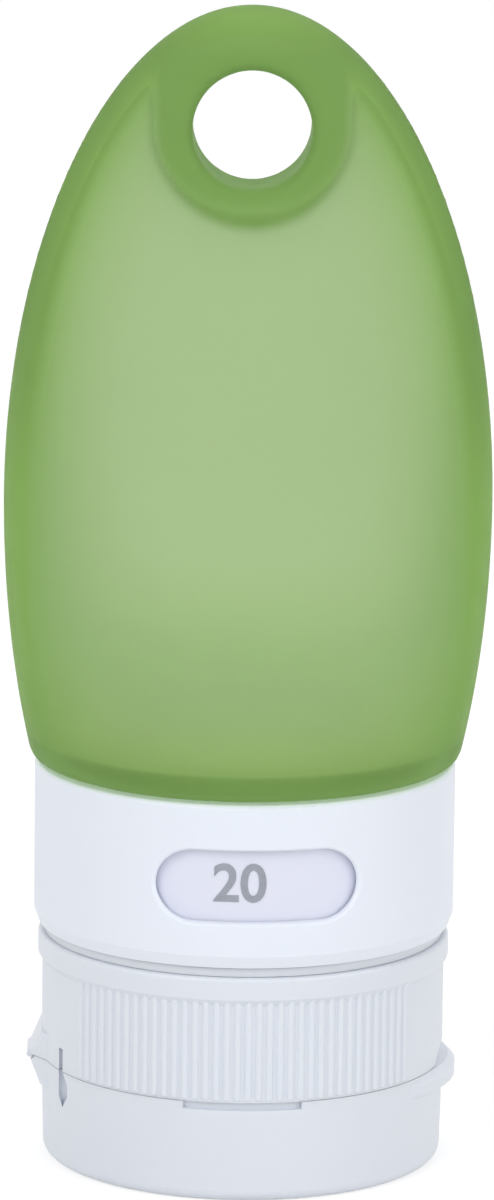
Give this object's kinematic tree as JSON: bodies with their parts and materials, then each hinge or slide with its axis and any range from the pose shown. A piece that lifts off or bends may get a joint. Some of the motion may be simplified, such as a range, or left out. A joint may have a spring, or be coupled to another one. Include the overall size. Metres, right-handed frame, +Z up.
{
  "type": "travel bottle",
  "caption": "Soft silicone squeeze bottle with a hang hole, standing on its flip-top screw cap, with a turning window collar over a dial ring round its neck.",
  "frame": {"origin": "middle of the lid's flat top, on which the bottle stands upside down", "axes": "+Z up along the bottle towards its hang hole, label window towards -Y but turned 3.6 degrees to +X, hinge at -X"},
  "size_m": [0.0508, 0.0478, 0.1215],
  "materials": {
    "silicone": "soft translucent satin",
    "ring_plastic": "satin",
    "label_plastic": "matt, printed",
    "collar_plastic": "fine satin",
    "cap_plastic": "fine satin",
    "valve_silicone": "clear satin"
  },
  "bodies": {
    "cap": {"cap_body": "cap_plastic", "slit_valve": "valve_silicone"},
    "lid": {"flip_lid": "cap_plastic"},
    "retainer": {"valve_retainer": "ring_plastic"},
    "bottle": {"silicone_body": "silicone", "neck_ring": "ring_plastic", "label_ring": "label_plastic"},
    "collar": {"window_collar": "collar_plastic"}
  },
  "joints": [
    {"name": "collar_turn", "type": "hinge", "parent": "bottle", "child": "collar", "pos_m": [0, 0, 0.0337], "axis": [0, 0, 1], "continuous": true},
    {"name": "bottle_lift", "type": "slide", "parent": "retainer", "child": "bottle", "axis": [0, 0, 1], "range_m": [0, 0.007]},
    {"name": "bottle_turn", "type": "hinge", "parent": "cap", "child": "retainer", "pos_m": [0, 0, 0.0107], "axis": [0, 0, 1], "range_deg": [0, 720]},
    {"name": "lid_flip", "type": "hinge", "parent": "cap", "child": "lid", "pos_m": [-0.0223, 0, 0.01067], "axis": [0, 1, 0], "range_deg": [0, 170]}
  ],
  "couplings": [
    {"joint": "bottle_lift", "follows": "bottle_turn", "m_per_rad": 0.00055704}
  ]
}
